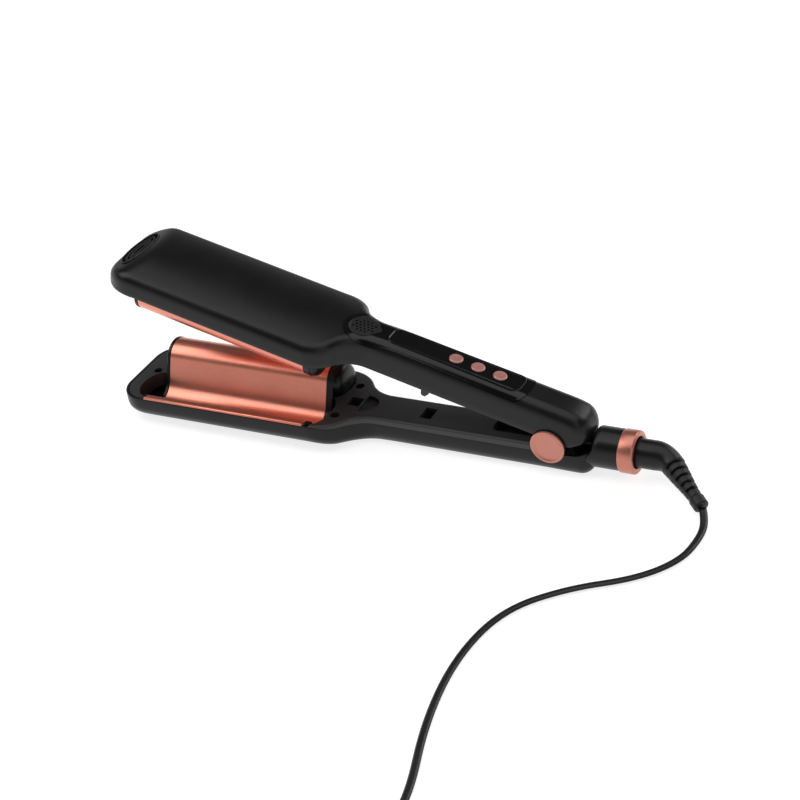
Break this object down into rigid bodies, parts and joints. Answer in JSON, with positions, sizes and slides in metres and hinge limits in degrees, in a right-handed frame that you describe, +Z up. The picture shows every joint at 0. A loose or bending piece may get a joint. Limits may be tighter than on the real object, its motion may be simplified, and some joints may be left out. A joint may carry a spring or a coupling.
{
  "type": "hair crimper",
  "caption": "Two-armed deep waver with S-shaped wave plates, push buttons, a closing lock and a swivelling lead with a plug.",
  "frame": {"origin": "centre of the bounding box of the tool without its lead, at table level, with the arms open", "axes": "+X along the arms from the tips to the lead, +Z up from the table, +Y across, towards the barrel of the lower wave plate"},
  "size_m": [0.4269, 0.3787, 0.1052],
  "materials": {
    "shell": "satin",
    "cover": "satin",
    "cap_plastic": "satin",
    "rose_coating": "satin metallic coating",
    "rose_metal": "metallic",
    "rose_button": "metallic satin",
    "panel_gloss": "gloss",
    "lens_gloss": "gloss",
    "relief_rubber": "matte",
    "lead_jacket": "satin",
    "plug_plastic": "satin",
    "pin_brass": "polished",
    "ceramic_heater": "matte",
    "wire_sleeve": "satin",
    "screw_steel": "plain",
    "steel_bracket": "plain",
    "spring_steel": "plain",
    "bush_plastic": "plain",
    "board": "matte",
    "module_glass": "gloss",
    "switch_plastic": "matte"
  },
  "bodies": {
    "lower_arm": {"lower_shell": "shell", "lower_handle_cover": "cover", "lower_tip_cover": "cover", "lower_wave_plate": "rose_coating", "lower_front_cap": "cap_plastic", "lower_rear_cap": "cap_plastic", "side_rails": "rose_coating", "rail_stops": "cap_plastic", "lower_heater": "ceramic_heater", "lower_leads": "wire_sleeve", "lower_screws": "screw_steel", "hinge_bracket": "steel_bracket", "hinge_pin": "steel_bracket", "hinge_cap_near": "rose_metal", "hinge_cap_far": "rose_metal", "hinge_spring": "spring_steel", "neck": "shell", "swivel_bush": "bush_plastic", "collar_ring": "rose_metal", "lead_tube": "lead_jacket", "lead_coil": "lead_jacket", "plug_body": "plug_plastic", "plug_pins": "pin_brass"},
    "upper_arm": {"upper_shell": "shell", "upper_handle_cover": "cover", "upper_tip_cover": "cover", "upper_wave_plate": "rose_coating", "upper_front_cap": "cap_plastic", "upper_rear_cap": "cap_plastic", "upper_heater": "ceramic_heater", "tip_grille": "cap_plastic", "control_panel": "panel_gloss", "display_lens": "lens_gloss", "vent_disc": "cap_plastic", "circuit_board": "board", "display_module": "module_glass", "tact_switches": "switch_plastic", "upper_screws": "screw_steel"},
    "plus_button": {"button_plus": "rose_button"},
    "minus_button": {"button_minus": "rose_button"},
    "power_button": {"button_power": "rose_button"},
    "lock": {"lock_slider": "rose_button"},
    "swivel": {"swivel_elbow": "shell", "strain_relief": "relief_rubber"}
  },
  "joints": [
    {"name": "arm_hinge", "type": "hinge", "parent": "lower_arm", "child": "upper_arm", "pos_m": [0.09025, 0, 0.0189], "axis": [0, 1, 0], "range_deg": [-15.3, 0], "stiffness_Nm_per_rad": 0.25, "springref_deg": 17.19},
    {"name": "lead_swivel", "type": "hinge", "parent": "lower_arm", "child": "swivel", "pos_m": [0.12025, 0, 0.015], "axis": [1, 0, 0], "continuous": true},
    {"name": "lock_slide", "type": "slide", "parent": "lower_arm", "child": "lock", "axis": [-1, 0, 0], "range_m": [0, 0.004]},
    {"name": "plus_press", "type": "slide", "parent": "upper_arm", "child": "plus_button", "axis": [-0.2639, 0, -0.9646], "range_m": [0, 0.0006], "stiffness_N_per_m": 600, "springref_m": -0.0008},
    {"name": "minus_press", "type": "slide", "parent": "upper_arm", "child": "minus_button", "axis": [-0.2639, 0, -0.9646], "range_m": [0, 0.0006], "stiffness_N_per_m": 600, "springref_m": -0.0008},
    {"name": "power_press", "type": "slide", "parent": "upper_arm", "child": "power_button", "axis": [-0.2639, 0, -0.9646], "range_m": [0, 0.0006], "stiffness_N_per_m": 600, "springref_m": -0.0008}
  ]
}
